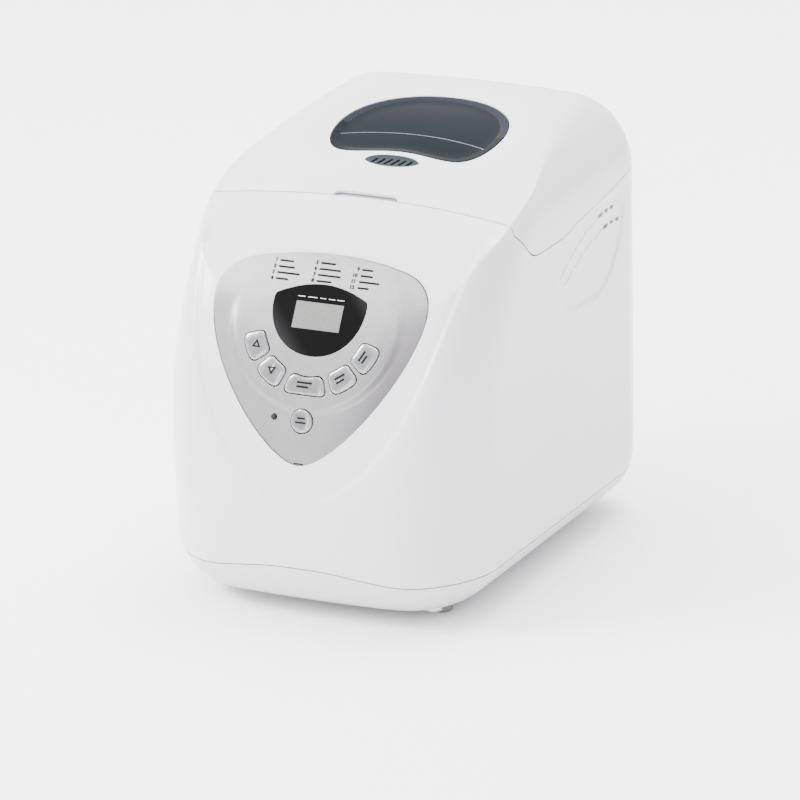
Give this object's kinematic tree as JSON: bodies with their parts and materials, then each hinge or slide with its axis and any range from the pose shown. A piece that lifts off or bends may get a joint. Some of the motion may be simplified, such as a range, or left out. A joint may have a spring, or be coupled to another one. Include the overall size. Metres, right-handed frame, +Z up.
{
  "type": "bread machine",
  "caption": "Bread machine: rounded white casing, hinged lid with a tinted window, silver shield-shaped control panel with push buttons, lift-out pan, belt-driven kneading paddle.",
  "frame": {"origin": "on the table, under the middle of the casing, at the soles of the feet", "axes": "+X to the user's right, front faces -Y, +Z up"},
  "size_m": [0.246, 0.346, 0.3152],
  "materials": {
    "white_body": "satin moulded plastic",
    "white_base": "satin moulded plastic",
    "silver_panel": "fine silver paint over moulded plastic",
    "clear_button": "glossy silver-backed plastic",
    "display_black": "high gloss",
    "window_glass": "dark tinted glass",
    "grille_grey": "fine matt",
    "lcd_face": "liquid-crystal module",
    "foot_rubber": "matt",
    "steel_bright": "plated",
    "oven_steel": "aluminised sheet",
    "nonstick": "non-stick coating",
    "bronze": "sintered bronze",
    "black_rubber": "matt",
    "circuit_board": "solder-masked fibreglass"
  },
  "bodies": {
    "casing": {"base_tray": "white_base", "foot_front_left": "foot_rubber", "foot_front_right": "foot_rubber", "foot_rear_left": "foot_rubber", "foot_rear_right": "foot_rubber", "body_shell": "white_body", "cord_inlet": "black_rubber", "top_deck": "white_body", "control_panel": "silver_panel", "display_window": "display_black", "lcd_module": "lcd_face", "status_lens": "display_black", "control_board": "circuit_board", "hinge_bracket_left": "steel_bright", "hinge_pin_left": "steel_bright", "hinge_bracket_right": "steel_bright", "hinge_pin_right": "steel_bright", "oven_chamber": "oven_steel", "chamber_post_1": "steel_bright", "chamber_post_2": "steel_bright", "chamber_post_3": "steel_bright", "chamber_post_4": "steel_bright", "heating_element": "nonstick", "temperature_sensor": "steel_bright", "pan_seat": "steel_bright", "bearing_housing": "steel_bright", "shaft_bush_lower": "bronze", "shaft_bush_upper": "bronze", "drive_belt": "black_rubber", "motor_bracket": "steel_bright", "motor": "steel_bright", "chassis_plate": "steel_bright", "power_board": "circuit_board"},
    "lid": {"lid_cover": "white_body", "lid_window": "window_glass", "lid_vent_grille": "grille_grey", "lid_liner": "white_body", "lid_hinge_arm_left": "steel_bright", "lid_hinge_arm_right": "steel_bright"},
    "drive": {"drive_shaft": "steel_bright", "drive_dog": "steel_bright", "drive_pulley": "nonstick", "shaft_clip": "steel_bright"},
    "motor_rotor": {"motor_shaft": "steel_bright", "motor_pulley": "steel_bright", "motor_fan": "grille_grey"},
    "pan": {"bread_pan": "nonstick", "pan_collar": "steel_bright", "shaft_seal": "black_rubber"},
    "handle": {"pan_handle": "steel_bright"},
    "paddle": {"paddle_shaft": "steel_bright", "pan_dog": "steel_bright", "kneading_paddle": "nonstick"},
    "button_time_up": {"button_time_up": "clear_button"},
    "button_time_down": {"button_time_down": "clear_button"},
    "button_loaf_size": {"button_loaf_size": "clear_button"},
    "button_menu": {"button_menu": "clear_button"},
    "button_crust_colour": {"button_crust_colour": "clear_button"},
    "button_start_stop": {"button_start_stop": "clear_button"}
  },
  "joints": [
    {"name": "lid_open", "type": "hinge", "parent": "casing", "child": "lid", "pos_m": [0, 0.168, 0.264], "axis": [-1, 0, 0], "range_deg": [0, 88]},
    {"name": "pan_lift", "type": "slide", "parent": "casing", "child": "pan", "axis": [0, 0, 1], "range_m": [0, 0.03]},
    {"name": "handle_fold", "type": "hinge", "parent": "pan", "child": "handle", "pos_m": [0, 0.038, 0.2235], "axis": [-1, 0, 0], "range_deg": [0, 38]},
    {"name": "drive_spin", "type": "hinge", "parent": "casing", "child": "drive", "pos_m": [0, 0.038, 0.02], "axis": [0, 0, 1], "continuous": true},
    {"name": "paddle_spin", "type": "hinge", "parent": "pan", "child": "paddle", "pos_m": [0, 0.038, 0.09], "axis": [0, 0, 1], "continuous": true},
    {"name": "motor_spin", "type": "hinge", "parent": "casing", "child": "motor_rotor", "pos_m": [-0.034, -0.098, 0.02], "axis": [0, 0, 1], "continuous": true},
    {"name": "press_time_up", "type": "slide", "parent": "casing", "child": "button_time_up", "axis": [0, 0.9063, -0.4226], "range_m": [0, 0.0012], "stiffness_N_per_m": 400, "springref_m": -0.0005},
    {"name": "press_time_down", "type": "slide", "parent": "casing", "child": "button_time_down", "axis": [0, 0.9063, -0.4226], "range_m": [0, 0.0012], "stiffness_N_per_m": 400, "springref_m": -0.0005},
    {"name": "press_loaf_size", "type": "slide", "parent": "casing", "child": "button_loaf_size", "axis": [0, 0.9063, -0.4226], "range_m": [0, 0.0012], "stiffness_N_per_m": 400, "springref_m": -0.0005},
    {"name": "press_menu", "type": "slide", "parent": "casing", "child": "button_menu", "axis": [0, 0.9063, -0.4226], "range_m": [0, 0.0012], "stiffness_N_per_m": 400, "springref_m": -0.0005},
    {"name": "press_crust_colour", "type": "slide", "parent": "casing", "child": "button_crust_colour", "axis": [0, 0.9063, -0.4226], "range_m": [0, 0.0012], "stiffness_N_per_m": 400, "springref_m": -0.0005},
    {"name": "press_start_stop", "type": "slide", "parent": "casing", "child": "button_start_stop", "axis": [0, 0.9063, -0.4226], "range_m": [0, 0.0012], "stiffness_N_per_m": 400, "springref_m": -0.0005}
  ],
  "couplings": [
    {"joint": "motor_spin", "follows": "drive_spin", "ratio": 4.6},
    {"joint": "paddle_spin", "follows": "drive_spin", "ratio": 1}
  ]
}
